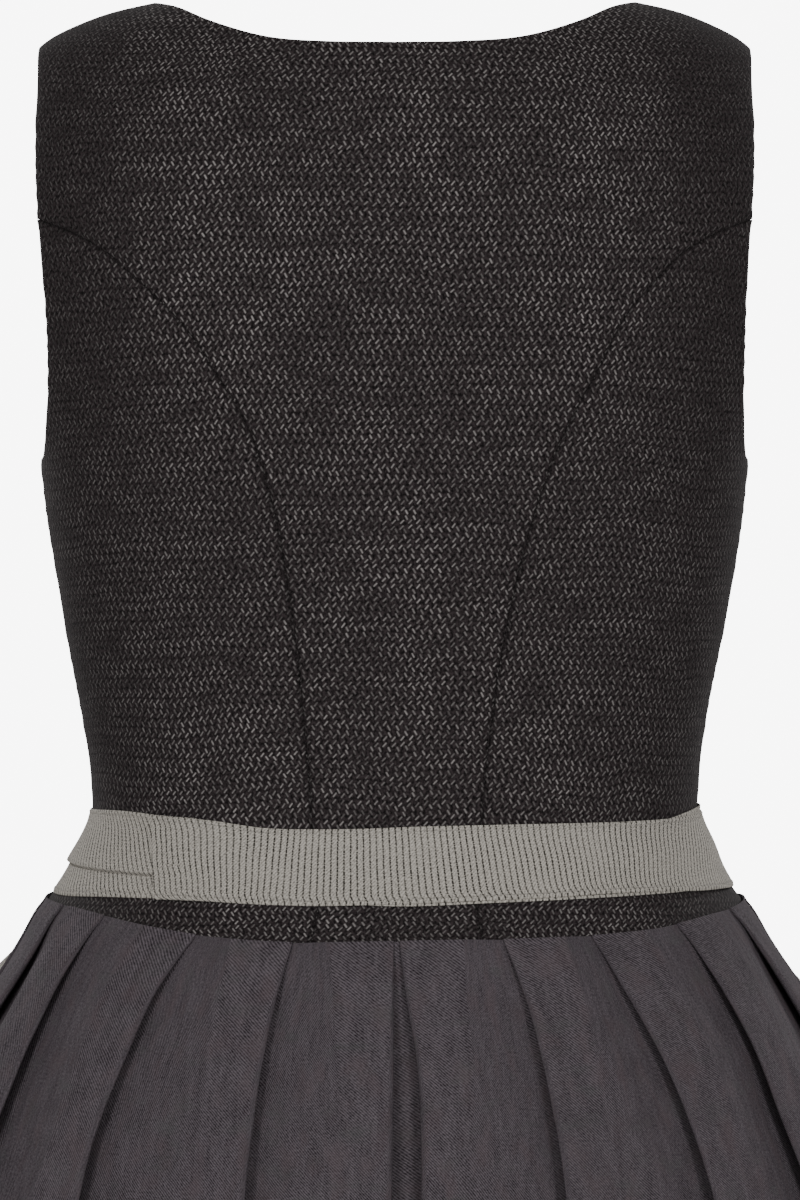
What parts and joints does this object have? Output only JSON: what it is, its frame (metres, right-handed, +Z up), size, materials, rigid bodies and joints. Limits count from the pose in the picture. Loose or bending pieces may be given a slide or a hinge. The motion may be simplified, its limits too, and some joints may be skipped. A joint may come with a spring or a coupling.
{
  "type": "dirndl",
  "caption": "Sleeveless dirndl, worn form: fitted princess-seamed bodice, full knife-pleated skirt and gathered striped apron on a waistband.",
  "frame": {"origin": "midway between the shoulders, level with the two neck points, in the open neck where the wearer's neck comes out", "axes": "+Z up, the front of the garment faces -Y, its back faces +Y and the wearer's left side is +X"},
  "size_m": [0.6762, 0.6017, 0.9895],
  "materials": {
    "jacquard": "woven, matte with slightly glossy grey weft dashes",
    "twill": "fine melange twill, matte",
    "stripe": "light grey cloth with narrow dark stripes, matte"
  },
  "bodies": {
    "root": {"bodice_back_center": "jacquard", "bodice_back_side_left": "jacquard", "bodice_back_side_right": "jacquard", "bodice_front_center_left": "jacquard", "bodice_front_center_right": "jacquard", "bodice_front_side_left": "jacquard", "bodice_front_side_right": "jacquard", "skirt_back": "twill", "skirt_front": "twill", "apron_band": "stripe", "apron": "stripe"}
  },
  "joints": []
}
